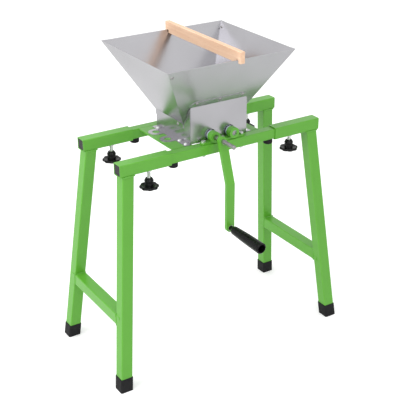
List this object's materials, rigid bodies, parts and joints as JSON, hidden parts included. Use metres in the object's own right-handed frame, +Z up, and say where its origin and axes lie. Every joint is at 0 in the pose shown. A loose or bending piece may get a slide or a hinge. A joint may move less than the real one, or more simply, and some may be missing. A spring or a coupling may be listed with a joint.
{
  "type": "fruit mill",
  "caption": "Hand cranked fruit mill: riveted steel hopper over two rollers of toothed discs, on a green telescopic stand with splayed legs, clamp knobs and a wooden pusher bar.",
  "frame": {"origin": "on the floor, midway between the four feet", "axes": "+X along the rails, -Y towards the crank, +Z up"},
  "size_m": [0.671, 0.4703, 0.8],
  "materials": {
    "green_coat": "smooth grass-green powder coat, satin gloss",
    "stainless": "satin stainless sheet with a soft sheen",
    "zinc": "bright zinc plate",
    "black_plastic": "black moulded plastic, fine grain",
    "black_rubber": "black moulded rubber",
    "pale_nylon": "pale bluish nylon",
    "beech": "planed untreated beech",
    "tool_steel": "machined stainless steel"
  },
  "bodies": {
    "mill_frame": {"bearing_saddle_front": "green_coat", "bearing_saddle_rear": "green_coat", "gear_cover": "stainless", "guide_plate_left": "stainless", "guide_plate_right": "stainless", "hopper_panel_front": "stainless", "hopper_panel_left": "stainless", "hopper_panel_rear": "stainless", "hopper_panel_right": "stainless", "hopper_rivets": "zinc", "housing_screws": "zinc", "housing_wall_front": "stainless", "housing_wall_left": "stainless", "housing_wall_rear": "stainless", "housing_wall_right": "stainless", "inner_rail_front": "green_coat", "inner_rail_rear": "green_coat", "left_cross_plate": "green_coat", "right_cross_plate": "green_coat", "rubber_stops": "black_rubber", "saddle_bolts": "zinc", "shaft_bushes": "pale_nylon"},
    "left_frame": {"left_crossbar": "green_coat", "left_end_plugs": "black_plastic", "left_foot_caps": "black_rubber", "left_leg_front": "green_coat", "left_leg_rear": "green_coat", "left_outer_rail_front": "green_coat", "left_outer_rail_rear": "green_coat", "left_weld_nuts": "zinc"},
    "right_frame": {"right_crossbar": "green_coat", "right_end_plugs": "black_plastic", "right_foot_caps": "black_rubber", "right_leg_front": "green_coat", "right_leg_rear": "green_coat", "right_outer_rail_front": "green_coat", "right_outer_rail_rear": "green_coat", "right_weld_nuts": "zinc"},
    "left_front_clamp": {"left_knob_front": "black_plastic", "left_stud_front": "zinc"},
    "left_rear_clamp": {"left_knob_rear": "black_plastic", "left_stud_rear": "zinc"},
    "right_front_clamp": {"right_knob_front": "black_plastic", "right_stud_front": "zinc"},
    "right_rear_clamp": {"right_knob_rear": "black_plastic", "right_stud_rear": "zinc"},
    "drive_roller": {"drive_shaft": "tool_steel", "drive_discs": "tool_steel", "drive_spacers": "tool_steel", "drive_gear": "tool_steel", "crank_arm": "green_coat", "grip_pin": "zinc", "grip_washer": "zinc"},
    "idler_roller": {"idler_shaft": "tool_steel", "idler_discs": "tool_steel", "idler_spacers": "tool_steel", "idler_gear": "tool_steel"},
    "grip": {"crank_grip": "black_plastic"},
    "pusher": {"pusher_bar": "beech"}
  },
  "joints": [
    {"name": "left_frame_slide", "type": "slide", "parent": "mill_frame", "child": "left_frame", "axis": [-1, 0, 0], "range_m": [0, 0.055]},
    {"name": "right_frame_slide", "type": "slide", "parent": "mill_frame", "child": "right_frame", "axis": [1, 0, 0], "range_m": [0, 0.055]},
    {"name": "left_front_knob_turn", "type": "hinge", "parent": "left_frame", "child": "left_front_clamp", "pos_m": [-0.203, -0.0934, 0.5], "axis": [0, 0, -1], "range_deg": [0, 720]},
    {"name": "left_rear_knob_turn", "type": "hinge", "parent": "left_frame", "child": "left_rear_clamp", "pos_m": [-0.203, 0.0934, 0.5], "axis": [0, 0, -1], "range_deg": [0, 720]},
    {"name": "right_front_knob_turn", "type": "hinge", "parent": "right_frame", "child": "right_front_clamp", "pos_m": [0.203, -0.0934, 0.5], "axis": [0, 0, -1], "range_deg": [0, 720]},
    {"name": "right_rear_knob_turn", "type": "hinge", "parent": "right_frame", "child": "right_rear_clamp", "pos_m": [0.203, 0.0934, 0.5], "axis": [0, 0, -1], "range_deg": [0, 720]},
    {"name": "crank_spin", "type": "hinge", "parent": "mill_frame", "child": "drive_roller", "pos_m": [-0.0255, 0, 0.5835], "axis": [0, 1, 0], "continuous": true},
    {"name": "idler_spin", "type": "hinge", "parent": "mill_frame", "child": "idler_roller", "pos_m": [0.0285, 0, 0.5835], "axis": [0, 1, 0], "continuous": true},
    {"name": "grip_spin", "type": "hinge", "parent": "drive_roller", "child": "grip", "pos_m": [-0.0255, -0.236, 0.3715], "axis": [0, 1, 0], "continuous": true},
    {"name": "pusher_slide", "type": "slide", "parent": "mill_frame", "child": "pusher", "axis": [1, 0, 0], "range_m": [-0.16, 0.125]}
  ],
  "couplings": [
    {"joint": "idler_spin", "follows": "crank_spin", "ratio": -1}
  ]
}
